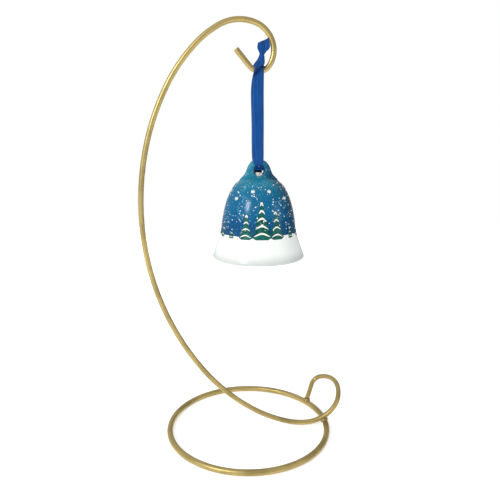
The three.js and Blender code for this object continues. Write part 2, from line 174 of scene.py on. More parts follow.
def mix_colour(tree, share, first, second):
    node = tree.nodes.new("ShaderNodeMix")
    node.data_type = "RGBA"
    for name, value in ((0, share), (6, first), (7, second)):
        if isinstance(value, (int, float)):
            node.inputs[name].default_value = value
        elif isinstance(value, tuple):
            node.inputs[name].default_value = (*value, 1)
        else:
            tree.links.new(value, node.inputs[name])
    return node.outputs[2]


def band(tree, value, low, high):
    """0 below low, 1 above high, smooth between."""
    node = tree.nodes.new("ShaderNodeMapRange")
    node.interpolation_type = "SMOOTHSTEP"
    node.inputs["From Min"].default_value = low
    node.inputs["From Max"].default_value = high
    tree.links.new(value, node.inputs["Value"])
    return node.outputs["Result"]


def new_group(name, inputs, outputs):
    tree = bpy.data.node_groups.new(name, "ShaderNodeTree")
    for label, value in inputs:
        socket = tree.interface.new_socket(name=label, in_out="INPUT", socket_type="NodeSocketFloat")
        socket.default_value = value
    for label in outputs:
        tree.interface.new_socket(name=label, in_out="OUTPUT", socket_type="NodeSocketFloat")
    start = tree.nodes.new("NodeGroupInput")
    end = tree.nodes.new("NodeGroupOutput")
    place = tree.nodes.new("ShaderNodeTexCoord").outputs["Object"]
    return tree, start.outputs, end.inputs, place


def cloud(tree, place, scale, detail=3.0):
    node = add_node(tree, "ShaderNodeTexNoise", Detail=detail)
    if isinstance(scale, (int, float)):
        node.inputs["Scale"].default_value = scale
    else:
        tree.links.new(scale, node.inputs["Scale"])
    tree.links.new(place, node.inputs["Vector"])
    return node.outputs["Fac"]


def metal_wear_group():
    """Handling marks on plated wire: dull clouds, fine drawn lines and small specks."""
    tree, given, out, place = new_group(
        "metal_wear",
        [("Scale", 60), ("Dulling", 0.15), ("Speck Size", 2500)],
        ["Tarnish", "Roughness", "Height"],
    )
    clouds = cloud(tree, place, given["Scale"], 4.0)
    specks = cloud(tree, place, given["Speck Size"], 2.0)
    wire_up(tree, band(tree, clouds, 0.42, 0.72), out["Tarnish"])
    dull = math_node(tree, "MULTIPLY_ADD", clouds, given["Dulling"], 0.3)
    wire_up(tree, dull, out["Roughness"])
    wire_up(tree, math_node(tree, "MULTIPLY_ADD", clouds, 0.3, specks), out["Height"])
    return tree


def glaze_group():
    """A fired glaze: slow ripple, pinholes and slight thick and thin places."""
    tree, given, out, place = new_group(
        "fired_glaze", [("Ripple Size", 180), ("Pinholes", 900)], ["Depth", "Roughness", "Height"]
    )
    ripple = cloud(tree, place, given["Ripple Size"], 1.0)
    holes = tree.nodes.new("ShaderNodeTexVoronoi")
    wire_up(tree, place, holes.inputs["Vector"])
    wire_up(tree, given["Pinholes"], holes.inputs["Scale"])
    pits = band(tree, holes.outputs["Distance"], 0.02, 0.12)
    patches = cloud(tree, place, 70.0, 2.0)
    wire_up(tree, patches, out["Depth"])
    wire_up(tree, math_node(tree, "MULTIPLY_ADD", patches, 0.1, 0.06), out["Roughness"])
    wire_up(tree, math_node(tree, "MULTIPLY_ADD", pits, 0.25, ripple), out["Height"])
    return tree


def thread_group():
    """Fine twisted or woven thread: slanting ridges with some unevenness."""
    tree, given, out, place = new_group(
        "fine_thread",
        [("Pitch Scale", 900), ("Slant", 0.5), ("Unevenness", 0.4)],
        ["Ridge", "Patch", "Height"],
    )
    parts = tree.nodes.new("ShaderNodeSeparateXYZ")
    wire_up(tree, place, parts.inputs[0])
    across = math_node(tree, "ADD", parts.outputs["X"], parts.outputs["Y"])
    slanted = math_node(tree, "MULTIPLY_ADD", across, given["Slant"], parts.outputs["Z"])
    turns = math_node(tree, "MULTIPLY", slanted, given["Pitch Scale"])
    wobble = cloud(tree, place, 220.0, 3.0)
    shifted = math_node(tree, "MULTIPLY_ADD", wobble, given["Unevenness"], turns)
    ridge = math_node(tree, "SINE", math_node(tree, "MULTIPLY", shifted, 2 * math.pi))
    wire_up(tree, ridge, out["Ridge"])
    wire_up(tree, cloud(tree, place, 90.0, 4.0), out["Patch"])
    wire_up(tree, math_node(tree, "MULTIPLY_ADD", wobble, 0.6, ridge), out["Height"])
    return tree


METAL_WEAR = metal_wear_group()
FIRED_GLAZE = glaze_group()
FINE_THREAD = thread_group()


def new_material(name, **values):
    material = bpy.data.materials.new(name)
    material.use_nodes = True
    tree = material.node_tree
    shader = tree.nodes["Principled BSDF"]
    for label, value in values.items():
        shader.inputs[label.replace("_", " ")].default_value = value
    return material, tree, shader


def place_group(tree, group, **values):
    node = tree.nodes.new("ShaderNodeGroup")
    node.node_tree = group
    for label, value in values.items():
        node.inputs[label.replace("_", " ")].default_value = value
    return node.outputs


def raise_surface(tree, shader, height, distance, strength=1.0):
    bump = add_node(tree, "ShaderNodeBump", Strength=strength, Distance=distance)
    wire_up(tree, height, bump.inputs["Height"])
    wire_up(tree, bump.outputs["Normal"], shader.inputs["Normal"])


def plated_wire(name, clean, dull, scale, dulling):
    material, tree, shader = new_material(name, Metallic=0.92)
    wear = place_group(tree, METAL_WEAR, Scale=scale, Dulling=dulling)
    colour = mix_colour(tree, wear["Tarnish"], clean, dull)
    wire_up(tree, colour, shader.inputs["Base Color"])
    wire_up(tree, wear["Roughness"], shader.inputs["Roughness"])
    raise_surface(tree, shader, wear["Height"], 0.000006, 0.15)
    return material


def enamel(name, light, deep):
    """Fired colour with brushed light and dark patches under a clear glaze."""
    material, tree, shader = new_material(
        name, Coat_Weight=0.08, Coat_Roughness=0.14, Specular_IOR_Level=0.12
    )
    glaze = place_group(tree, FIRED_GLAZE)
    place = tree.nodes.new("ShaderNodeTexCoord").outputs["Object"]
    strokes = cloud(tree, place, 420.0, 3.0)
    colour = mix_colour(tree, band(tree, strokes, 0.35, 0.68), light, deep)
    wire_up(tree, colour, shader.inputs["Base Color"])
    wire_up(tree, math_node(tree, "ADD", glaze["Roughness"], 0.22), shader.inputs["Roughness"])
    raise_surface(tree, shader, glaze["Height"], 0.00003, 0.5)
    return material


def white_glaze():
    material, tree, shader = new_material("white_porcelain_glaze", Coat_Weight=0.3, Coat_Roughness=0.1)
    glaze = place_group(tree, FIRED_GLAZE, Ripple_Size=120)
    colour = mix_colour(tree, glaze["Depth"], (0.88, 0.88, 0.85), (0.80, 0.81, 0.79))
    wire_up(tree, colour, shader.inputs["Base Color"])
    wire_up(tree, glaze["Roughness"], shader.inputs["Roughness"])
    raise_surface(tree, shader, glaze["Height"], 0.00004, 0.4)
    return material


def satin(name, low, high, ridge):
    material, tree, shader = new_material(name, Specular_IOR_Level=0.12)
    thread = place_group(tree, FINE_THREAD, Pitch_Scale=1700, Slant=0.55, Unevenness=0.9)
    base = mix_colour(tree, band(tree, thread["Patch"], 0.3, 0.7), low, high)
    colour = mix_colour(tree, band(tree, thread["Ridge"], -1.0, 1.6), base, ridge)
    wire_up(tree, colour, shader.inputs["Base Color"])
    wire_up(tree, math_node(tree, "MULTIPLY_ADD", thread["Patch"], 0.2, 0.28), shader.inputs["Roughness"])
    raise_surface(tree, shader, thread["Height"], 0.00004, 0.6)
    return material


def cotton_cord():
    material, tree, shader = new_material("off_white_cord", Sheen_Weight=0.4, Sheen_Roughness=0.6)
    thread = place_group(tree, FINE_THREAD, Pitch_Scale=3200, Slant=1.2, Unevenness=0.5)
    colour = mix_colour(tree, band(tree, thread["Ridge"], -1.0, 1.0), (0.66, 0.62, 0.50), (0.88, 0.86, 0.78))
    wire_up(tree, colour, shader.inputs["Base Color"])
    wire_up(tree, math_node(tree, "MULTIPLY_ADD", thread["Patch"], 0.2, 0.68), shader.inputs["Roughness"])
    raise_surface(tree, shader, thread["Height"], 0.00006, 0.8)
    return material


def painted_sky():
    """The bell's outside: a night sky with fine snow above, and drifts of snow below a wavy line. Painted
    shade darkens the right side and the snow near the lip.
    """
    material, tree, shader = new_material(
        "painted_night_sky", Coat_Weight=0.32, Coat_Roughness=0.2, Specular_IOR_Level=0.03
    )
    glaze = place_group(tree, FIRED_GLAZE)
    place = tree.nodes.new("ShaderNodeTexCoord").outputs["Object"]
    parts = tree.nodes.new("ShaderNodeSeparateXYZ")
    wire_up(tree, place, parts.inputs[0])
    right = math_node(tree, "SUBTRACT", parts.outputs["X"], float(HANG_X) * MM)
    front = math_node(tree, "MULTIPLY", parts.outputs["Y"], -1.0)
    turn = math_node(tree, "ARCTAN2", right, front)
    height = math_node(tree, "MULTIPLY_ADD", parts.outputs["Z"], 1 / MM, -float(MOUTH_Z))
    # The drifts' edge: highest at the front, with three long swells and a soft unevenness.
    swell = math_node(tree, "COSINE", math_node(tree, "ADD", turn, rad(-8)))
    ripple = math_node(tree, "COSINE", math_node(tree, "MULTIPLY_ADD", turn, 3.0, rad(-166)))
    edge = math_node(tree, "MULTIPLY_ADD", swell, 1.3, 14.6)
    edge = math_node(tree, "MULTIPLY_ADD", ripple, 0.5, edge)
    edge = math_node(tree, "MULTIPLY_ADD", cloud(tree, place, 260.0, 2.0), 1.9, edge)
    above = band(tree, math_node(tree, "SUBTRACT", height, edge), 0.45, 0.75)
    # Airbrushed sky, deep at the drifts and paler towards the crown.
    brushed = cloud(tree, place, 110.0, 5.0)
    level = math_node(tree, "MULTIPLY_ADD", brushed, 16.0, math_node(tree, "SUBTRACT", height, 8.0))
    deep = mix_colour(tree, band(tree, level, 16, 36), (0.001, 0.04, 0.15), (0.001, 0.10, 0.22))
    pale = mix_colour(tree, band(tree, level, 38, 54), deep, (0.015, 0.19, 0.29))
    # Painted shade: the sky is darker from the right of the front round to the back.
    shade = math_node(tree, "MULTIPLY_ADD", turn, 1 / math.pi, 0.1)
    night = mix_colour(tree, band(tree, shade, 0.22, 0.5), pale, (0.001, 0.032, 0.085))
    grain = band(tree, cloud(tree, place, 1500.0, 2.0), 0.5, 0.75)
    night = mix_colour(tree, math_node(tree, "MULTIPLY", grain, 0.55), night, (0.03, 0.30, 0.42))
    flakes = tree.nodes.new("ShaderNodeTexVoronoi")
    wire_up(tree, place, flakes.inputs["Vector"])
    flakes.inputs["Scale"].default_value = 800
    dusting = math_node(tree, "MAXIMUM", band(tree, brushed, 0.42, 0.62), band(tree, level, 44, 54))
    mist = math_node(tree, "MULTIPLY", dusting, 0.75)
    speck = math_node(tree, "SUBTRACT", 1.0, band(tree, flakes.outputs["Distance"], 0.10, 0.24))
    sky = mix_colour(tree, math_node(tree, "MULTIPLY", speck, mist), night, (0.45, 0.62, 0.78))
    # Painted shade: the snow is greyer towards the lip, in the lowest 8 mm.
    drift = mix_colour(tree, band(tree, height, -0.5, 8.0), (0.52, 0.55, 0.52), (0.83, 0.85, 0.82))
    colour = mix_colour(tree, above, drift, sky)
    wire_up(tree, colour, shader.inputs["Base Color"])
    wire_up(tree, glaze["Roughness"], shader.inputs["Roughness"])
    raise_surface(tree, shader, glaze["Height"], 0.00005, 0.5)
    return material


GOLD = plated_wire("satin_gold_plate", (0.48, 0.365, 0.14), (0.35, 0.265, 0.10), 60, 0.20)
BRAZED = plated_wire("brazed_gold", (0.38, 0.29, 0.12), (0.16, 0.12, 0.05), 240, 0.5)
SATIN = satin("royal_blue_satin", (0.002, 0.024, 0.12), (0.0035, 0.048, 0.21), (0.006, 0.09, 0.31))
# A near-black copy of the satin: painted shade for the fold under the knot.
SATIN_PAINTED_SHADE = satin("painted_shade_blue_satin", (0.001, 0.004, 0.03), (0.001, 0.008, 0.05), (0.002, 0.014, 0.07))
COTTON = cotton_cord()
WHITE_GLAZE = white_glaze()
PAINTED_SKY = painted_sky()


# ---------------------------------------------------------------- meshes
def make_piece(name, points, faces, material):
    mesh = bpy.data.meshes.new(name)
    mesh.from_pydata((np.asarray(points, float) * MM).tolist(), [], faces)
    mesh.validate()
    mesh.shade_smooth()
    mesh.materials.append(material)
    piece = bpy.data.objects.new(name, mesh)
    bpy.context.scene.collection.objects.link(piece)
    return piece


def face_outwards(piece):
    bm = bmesh.new()
    bm.from_mesh(piece.data)
    bmesh.ops.recalc_face_normals(bm, faces=bm.faces[:])
    bm.to_mesh(piece.data)
    bm.free()


def with_modifiers(piece):
    """The piece's mesh with its modifiers worked in."""
    graph = bpy.context.evaluated_depsgraph_get()
    mesh = bpy.data.meshes.new_from_object(piece.evaluated_get(graph))
    piece.modifiers.clear()
    piece.data = mesh
    return piece


def stacked(rings, joined=False):
    """Points and faces of a body whose sections are closed rings of the same number of points."""
    rows = len(rings)
    cols = len(rings[0])
    points = [p for ring in rings for p in ring]
    faces = []
    for i in range(rows if joined else rows - 1):
        a = i * cols
        b = ((i + 1) % rows) * cols
        for j in range(cols):
            k = (j + 1) % cols
            faces.append((a + j, a + k, b + k, b + j))
    if not joined:
        for ring, start in ((rings[0], 0), (rings[-1], (rows - 1) * cols)):
            points.append(np.mean(ring, axis=0))
            middle = len(points) - 1
            for j in range(cols):
                faces.append((start + j, start + (j + 1) % cols, middle))
    return points, faces


def section_frames(points, joined=False):
    """Two directions square to a line at each of its points, with no twist along it."""
    points = np.asarray(points, float)
    if joined:
        along = np.roll(points, -1, 0) - np.roll(points, 1, 0)
    else:
        along = np.gradient(points, axis=0)
    along /= np.linalg.norm(along, axis=1)[:, None]
    start = np.array([0.0, 1.0, 0.0])
    if abs(along[0] @ start) > 0.9:
        start = np.array([1.0, 0.0, 0.0])
    frames = []
    for direction in along:
        start = start - direction * (direction @ start)
        start /= np.linalg.norm(start)
        frames.append((start.copy(), np.cross(direction, start)))
    return along, frames


def tube(name, points, radius, material, sides=WIRE_SIDES, joined=False, end_round=0.5, lobes=0, pitch=1.0):
    """A round body along points. Lobes twist round it once in each pitch, as a cord's strands do."""
    along, frames = section_frames(points, joined)
    reach = np.concatenate(([0], np.cumsum(np.linalg.norm(np.diff(points, axis=0), axis=1))))
    angles = np.arange(sides) * 2 * math.pi / sides

    def ring(i, size, shift=0.0):
        first, second = frames[i]
        twist = angles - 2 * math.pi * reach[i] / pitch
        swell = size * (0.84 + 0.16 * np.abs(np.cos(lobes / 2 * twist))) if lobes else size * np.ones(sides)
        middle = points[i] + along[i] * shift
        return middle + (swell * np.cos(angles))[:, None] * first + (swell * np.sin(angles))[:, None] * second

    rings = [ring(i, radius) for i in range(len(points))]
    if not joined:
        turn = (rad(80), rad(55), rad(28))
        tips = [(radius - end_round + end_round * math.cos(a), end_round * math.sin(a)) for a in turn]
        last = len(points) - 1
        rings = [ring(0, size, -out) for size, out in tips] + rings
        rings += [ring(last, size, out) for size, out in reversed(tips)]
    piece = make_piece(name, *stacked(rings, joined), material)
    face_outwards(piece)
    return piece


def smooth_rows(rows, steps):
    """More rows between the given ones, on a smooth curve through them."""
    rows = np.asarray(rows, float)
    padded = np.concatenate((rows[:1] * 2 - rows[1:2], rows, rows[-1:] * 2 - rows[-2:-1]))
    made = []
    for a, b, c, d in zip(padded, padded[1:], padded[2:], padded[3:]):
        for t in np.arange(steps) / steps:
            made.append(
                0.5 * (2 * b + (c - a) * t + (2 * a - 5 * b + 4 * c - d) * t**2
                       + (3 * b - a - 3 * c + d) * t**3)
            )
    made.append(rows[-1])
    return np.array(made)


def ribbon(name, rows, material, steps=6, thickness=RIBBON):
    """A strip of satin over rows of points across it, with a slightly thicker woven edge."""
    sheet = smooth_rows(rows, steps)
    across = np.gradient(sheet, axis=1)
    along = np.gradient(sheet, axis=0)
    normal = np.cross(across, along)
    normal /= np.linalg.norm(normal, axis=2)[:, :, None]
    share = np.linspace(-1, 1, sheet.shape[1])
    half = thickness / 2 * (1 + 0.5 * np.exp(-(((np.abs(share) - 0.93) / 0.05) ** 2)))
    half *= np.sqrt(np.clip(1 - np.abs(share) ** 24, 0.03, 1))
    offset = normal * half[None, :, None]
    rings = [np.concatenate((front, back[::-1])) for front, back in zip(sheet + offset, sheet - offset)]
    rows_made = len(rings)
    cols = len(rings[0])
    points = np.concatenate(rings)
    faces = []
    for i in range(rows_made - 1):
        for j in range(cols):
            k = (j + 1) % cols
            faces.append((i * cols + j, i * cols + k, (i + 1) * cols + k, (i + 1) * cols + j))
    for start in (0, (rows_made - 1) * cols):
        for j in range(cols // 2 - 1):
            faces.append((start + j, start + j + 1, start + cols - 2 - j, start + cols - 1 - j))
    piece = make_piece(name, points, faces, material)
    face_outwards(piece)
    return piece


# ---------------------------------------------------------------- clapper
def clapper_cord():
    """Hangs from the crown through the bead to its knot."""
    top = CEILING
    bottom = STOP_MIDDLE[2] + 0.4
    steps = 120
    route = [np.array([HANG_X, 0.0, top + (bottom - top) * i / steps]) for i in range(steps + 1)]
    piece = tube("clapper_cord_twisted", route, CORD / 2, COTTON, 24, lobes=3, pitch=3.4, end_round=0.3)
    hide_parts("clapper_cord", "clapper_cord_neck")
    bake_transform(piece)
    return piece, route


def tied_knot(name, middle, half_sizes, strand):
    """A cord's strand pulled tight into a three-turn knot."""
    turns = np.linspace(0, 2 * math.pi, 120, endpoint=False)
    loop = np.stack(
        (np.sin(turns) + 2 * np.sin(2 * turns), -np.sin(3 * turns), np.cos(turns) - 2 * np.cos(2 * turns)), 1
    )
    reach = np.array(half_sizes) - strand
    loop = loop / np.array([3, 1, 3]) * reach + middle
    piece = tube(name, loop, strand, COTTON, 16, joined=True)
    remesh = piece.modifiers.new("merge", "REMESH")
    remesh.mode = "VOXEL"
    remesh.voxel_size = 0.14 * MM
    relax = piece.modifiers.new("relax", "SMOOTH")
    relax.factor = 0.5
    relax.iterations = 3
    with_modifiers(piece)
    piece.data.materials.clear()
    piece.data.materials.append(COTTON)
    piece.data.shade_smooth()
    return piece


def turned(name, profile, middle, material, sides=64):
    """A closed outline of (radius, height) turned about a vertical axis."""
    angles = np.arange(sides) * 2 * math.pi / sides
    rings = [
        np.stack((r * np.cos(angles), r * np.sin(angles), np.full(sides, h)), 1) + middle
        for r, h in profile
    ]
    piece = make_piece(name, *stacked(rings, joined=True), material)
    face_outwards(piece)
    return piece


def bead_profile():
    """A round bead with a softened bore."""
    rim = 0.5
    outside = []
    last = math.asin((BEAD_BORE + rim) / BEAD_RADIUS)
    for a in np.linspace(last, math.pi - last, 40):
        outside.append((BEAD_RADIUS * math.sin(a), BEAD_RADIUS * math.cos(a)))
    depth = BEAD_RADIUS * math.cos(last)
    lower = [(BEAD_BORE + rim * (1 - math.sin(a)), -depth + rim * (1 - math.cos(a))) for a in (0.5, 1.0, 1.5)]
    upper = [(r, -h) for r, h in reversed(lower)]
    return outside + lower + upper


cord_piece, cord_route = clapper_cord()
bead = turned("clapper_bead_glazed", bead_profile(), BEAD_MIDDLE, WHITE_GLAZE, 56)
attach(bead, "clapper")
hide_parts("clapper_bead")
stop_knot = tied_knot("clapper_end_knot", STOP_MIDDLE, (1.85, 1.6, 1.85), 0.72)
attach(stop_knot, "clapper")
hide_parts("clapper_stop")
top_knot = tied_knot("clapper_top_knot", KNOT_MIDDLE + np.array([0, -0.8, 0.05]), (2.5, 2.6, 1.9), 1.05)
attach(top_knot, "bell")
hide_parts("clapper_knot")


# ---------------------------------------------------------------- wire stand
def bend(route, heading, radius, end_heading):
    """Adds a round bend to a flat route and returns the new heading."""
    turn = end_heading - heading
    side = math.copysign(radius, turn)
    steps = max(2, math.ceil(abs(turn) / TURN_STEP))
    centre = route[-1] + side * np.array([-math.sin(rad(heading)), math.cos(rad(heading))])
    for i in range(1, steps + 1):
        h = rad(heading + turn * i / steps)
        route.append(centre + side * np.array([math.sin(h), -math.cos(h)]))
    return end_heading


def straight(route, end):
    start = route[-1]
    steps = max(2, math.ceil(np.linalg.norm(end - start) / 1.5))
    for i in range(1, steps + 1):
        route.append(start + (end - start) * i / steps)


def facing(heading):
    return np.array([math.cos(rad(heading)), math.sin(rad(heading))])


def arm_route():
    """The long wire's line, from the end of the loop over the foot to the hook's tip."""
    ring_height = RING_WIRE / 2
    belly_height = ARM_WIRE / 2 + ARM_LIFT
    apart = RING_WIRE / 2 + ARM_WIRE / 2 + WIRE_GAP
    level = STEP_RADIUS + belly_height - ring_height
    belly = np.array([RING_RADIUS - math.sqrt((STEP_RADIUS + apart) ** 2 - level**2), belly_height])
    bow = [belly]
    heading = 180
    for radius, end_heading in ARM_BENDS:
        heading = bend(bow, heading, radius, end_heading)
    straight(bow, bow[-1] + HOOK_TIP * facing(heading))
    step = [belly]
    bend(step, 0, STEP_RADIUS, STEP_HEADING)
    flat = lambda p: np.array([p[0], 0.0, p[1]])
    start = flat(step[-1])
    forward = flat(facing(STEP_HEADING))
    reach = RING_WIRE / 2 + TAIL_SEAT
    radius = RING_RADIUS + reach * math.cos(rad(TAIL_LEAN))
    rise = ring_height + reach * math.sin(rad(TAIL_LEAN))
    end = np.array([radius * math.cos(rad(TAIL_ANGLE)), radius * math.sin(rad(TAIL_ANGLE)), rise])
    along = (end - start) @ forward
    side = end - start - forward * along
    across = np.linalg.norm(side)
    side /= across
    loop = [np.zeros(2)]
    heading = 0
    for radius, turn in TAIL_BENDS:
        heading = bend(loop, heading, radius, heading + turn)
    centre = loop[-1] + TAIL_CORNER * np.array([-math.sin(rad(heading)), math.cos(rad(heading))])
    target = np.array([along, across])
    away = target - centre
    last = math.atan2(away[1], away[0]) + math.asin(TAIL_CORNER / np.linalg.norm(away))
    if last < rad(heading):
        last += 2 * math.pi
    bend(loop, heading, TAIL_CORNER, math.degrees(last))
    straight(loop, target)
    route = [start + forward * p[0] + side * p[1] for p in reversed(loop[1:])]
    route += [flat(p) for p in reversed(step)]
    route += [flat(p) for p in bow[1:]]
    return np.array(route) + np.array([RING_MIDDLE[0], 0, 0])


def evenly(route, spacing):
    """The same line with points at an even spacing."""
    lengths = np.concatenate(([0], np.cumsum(np.linalg.norm(np.diff(route, axis=0), axis=1))))
    places = np.linspace(0, lengths[-1], math.ceil(lengths[-1] / spacing) + 1)
    return np.stack([np.interp(places, lengths, route[:, i]) for i in range(3)], 1)


def braze(name, middle, half_sizes, node):
    """A run of braze that has wet both wires and set with soft lumps."""
    bm = bmesh.new()
    bmesh.ops.create_icosphere(bm, subdivisions=4, radius=1)
    for vert in bm.verts:
        lump = 1 + 0.16 * noise.noise(vert.co * 1.6 + Vector(middle)) + 0.05 * noise.noise(vert.co * 5)
        vert.co = Vector([c * s * lump for c, s in zip(vert.co, half_sizes)])
        vert.co = (vert.co + Vector(middle)) * MM
    mesh = bpy.data.meshes.new(name)
    bm.to_mesh(mesh)
    bm.free()
    mesh.shade_smooth()
    mesh.materials.append(BRAZED)
    piece = bpy.data.objects.new(name, mesh)
    bpy.context.scene.collection.objects.link(piece)
    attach(piece, "stand")
    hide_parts(node)
    return piece


def wire_stand():
    route = evenly(arm_route(), 1.2)
    arm = tube("arm_wire_plated", route, ARM_WIRE / 2, GOLD, end_round=0.45)
    turns = np.arange(240) * 2 * math.pi / 240
    circle = np.stack((RING_RADIUS * np.cos(turns), RING_RADIUS * np.sin(turns), np.zeros(240)), 1)
    foot = tube("foot_ring_plated", circle + RING_MIDDLE, RING_WIRE / 2, GOLD, joined=True)
    for piece, node in ((arm, "arm_wire"), (foot, "base_ring")):
        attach(piece, "stand")
        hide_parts(node)
    braze("arm_braze", node_middle("arm_weld"), (2.9, 2.2, 2.1), "arm_weld")
    braze("tail_braze", node_middle("tail_weld"), (2.5, 2.5, 1.7), "tail_weld")


wire_stand()


# ---------------------------------------------------------------- ribbon
SHARE = np.linspace(-1, 1, 25)  # places across the ribbon, from its left edge to its right


def strand_row(height, middle, half, depth, cup, curl):
    """A row across a long strand. Heights are from the hook's seat, places across from the hanging line."""
    x = HANG_X + middle + SHARE * half
    fold = 0.12 * np.cos(3.1 * SHARE * math.pi + height * 0.09)
    bulge = cup * (1 - SHARE**2) + fold - curl * np.clip(-SHARE - 0.7, 0, 1) / 0.3
    y = depth + math.copysign(1, depth) * bulge
    return np.stack((x, y, np.full(25, SEAT[2] + height)), 1)


def gathered_row(depth, radius, arch, rise):
    """A row across the ribbon where it bunches round the top of the lug's hole."""
    angle = SHARE * rad(arch)
    reach = radius + 0.1 * np.cos(5 * SHARE * math.pi)
    x = HANG_X + reach * np.sin(angle)
    return np.stack((x, np.full(25, depth), HOLE[2] + rise + reach * np.cos(angle)), 1)


def fold_row(depth, half, height):
    """A row across one of the folds that fill the hole under that bunch."""
    z = HOLE[2] + height - 0.4 * SHARE**2 + 0.12 * np.cos(4 * SHARE * math.pi)
    return np.stack((HANG_X + half * SHARE, np.full(25, depth), z), 1)


def long_strands():
    """One length of ribbon: down the front, through the lug's hole and up the back."""
    front = [
        strand_row(5.2, 1.2, 1.9, -1.6, 0.3, 0.0),
        strand_row(2.0, 0.1, 2.7, -2.75, 0.2, 0.0),
        strand_row(-2.8, -0.6, 3.4, -2.75, 0.2, 0.1),
        strand_row(-7.5, -1.0, 3.8, -2.8, 0.4, 0.8),
        strand_row(-14.0, -1.2, 3.95, -2.9, 0.3, 1.1),
        strand_row(-30.0, -1.0, 3.85, -3.3, 0.3, 0.7),
        strand_row(-44.0, -0.9, 3.7, -3.8, 0.3, 0.6),
        strand_row(-52.0, -0.7, 3.5, -4.2, 0.3, 0.4),
        strand_row(-56.0, -0.45, 3.0, -4.3, 0.3, 0.2),
    ]
    through = [
        gathered_row(-4.2, 2.6, 58, 1.2),
        gathered_row(-3.3, 2.8, 82, 0.25),
        gathered_row(-1.6, 2.85, 96, 0.0),
        gathered_row(1.6, 2.85, 96, 0.0),
        gathered_row(3.3, 2.8, 82, 0.25),
        gathered_row(4.2, 2.6, 58, 1.2),
    ]
    back = [
        strand_row(-56.0, -0.4, 3.0, 4.3, 0.3, 0.2),
        strand_row(-52.0, -0.5, 3.5, 4.2, 0.3, 0.2),
        strand_row(-44.0, -0.5, 3.7, 3.8, 0.3, 0.2),
        strand_row(-30.0, -0.5, 3.8, 3.3, 0.3, 0.2),
        strand_row(-14.0, -0.5, 3.8, 2.9, 0.3, 0.2),
        strand_row(-7.5, -0.4, 3.7, 2.9, 0.4, 0.2),
        strand_row(-2.8, 0.0, 3.4, 3.1, 0.4, 0.2),
        strand_row(2.0, 0.6, 2.8, 2.8, 0.4, 0.2),
        strand_row(5.2, 1.4, 1.9, 1.6, 0.3, 0.0),
    ]
    piece = ribbon("ribbon_long_strands", front + through + back, SATIN, 8)
    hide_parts("ribbon_loop")
    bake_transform(piece)
    upper = [(-3.9, 2.1, 1.75), (-2.6, 2.1, 2.1), (0.0, 2.1, 2.15), (2.6, 2.1, 2.1), (3.9, 2.1, 1.8)]
    lower = [
        (-4.1, 2.3, 0.75), (-3.4, 2.3, 1.0), (-2.4, 2.3, 1.45), (0.0, 2.3, 1.6),
        (2.6, 2.3, 1.5), (3.7, 2.4, 1.0),
        (4.25, 2.6, -0.3), (4.4, 2.7, -2.3),
    ]
    for name, rows in (("ribbon_upper_fold", upper), ("ribbon_lower_fold", lower)):
        fold = ribbon(name, [fold_row(*row) for row in rows], SATIN, 8, 0.5)
        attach(fold, "ribbon")


def hem_height(turn):
    """How high the knot's lower edge is at an angle round it, above the hook's seat."""
    places = [0, 40, 90, 140, 180, 205, 235, 270, 320, 360]
    heights = [4.6, 2.4, 2.0, 2.6, 3.6, -0.8, -2.6, 1.8, 3.4, 4.6]
    return float(np.interp(turn, places, heights))


def ribbon_knot():
    """The tied wrap above the hook, with pleats that run together at its neck."""
    levels = [  # share of the way down, middle, half width and half depth
        (0.0, 1.8, 1.5, 1.05), (0.12, 1.6, 1.6, 1.2), (0.35, 1.4, 1.95, 1.9),
        (0.6, 1.0, 2.5, 3.0), (0.8, 0.5, 3.1, 3.9), (1.0, 0.0, 3.5, 4.6),
    ]
    top = 10.2
    sides = 72
    turns = np.arange(sides) * 360 / sides

    def ring(share, middle, half, depth, inset):
        points = []
        for turn in turns:
            hem = hem_height(turn)
            z = top + (hem - top) * share
            pleat = 1 + 0.05 * share * math.cos(rad(7 * turn)) + 0.04 * math.cos(rad(3 * turn + 200 * share))
            x = middle + (half * pleat - inset) * math.cos(rad(turn))
            y = (depth * pleat - inset) * math.sin(rad(turn))
            points.append((HANG_X + x, y, SEAT[2] + z))
        return np.array(points)

    fine = smooth_rows(levels, 5)
    outside = [ring(*row, 0.0) for row in fine]
    inside = [ring(*row, 0.6) for row in fine[::-1] if row[0] > 0.3]
    piece = make_piece("ribbon_tied_knot", *stacked(outside + inside), SATIN)
    face_outwards(piece)
    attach(piece, "ribbon_top")
    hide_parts("ribbon_knot")


def turned_edge():
    """The knot's lower edge at the front, where the ribbon turns under itself. Its near-black satin is
    painted shade for the fold.
    """
    places = [(3.0, 2.0, -4.2), (1.2, 1.5, -4.75), (-0.8, 0.4, -4.7), (-2.6, -1.5, -4.1), (-3.5, -3.3, -3.1)]
    line = smooth_rows([(HANG_X + x, y, SEAT[2] + z) for x, z, y in places], 6)
    piece = tube("ribbon_turned_edge_painted_shade", line, 0.42, SATIN_PAINTED_SHADE, 12, end_round=0.2)
    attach(piece, "ribbon_top")


def cut_end(name, node, lefts, rights, depth, wave):
    """A short cut end that fans out of the knot. Corners are (across, up) from the hook's seat."""
    rows = []
    count = len(lefts)
    for i, (left, right) in enumerate(zip(lefts, rights)):
        share = (SHARE + 1) / 2
        x = left[0] + (right[0] - left[0]) * share
        z = left[1] + (right[1] - left[1]) * share
        swell = 0.25 + 0.75 * i / (count - 1)
        y = depth * swell + 0.55 * swell * np.sin(wave + SHARE * 1.25 * math.pi)
        y = y + 0.15 * np.cos(SHARE * 14 + i)
        rows.append(np.stack((HANG_X + x, y, SEAT[2] + z), 1))
    piece = ribbon(name, rows, SATIN, 8, 0.32)
    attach(piece, "ribbon_top")
    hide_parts(node)


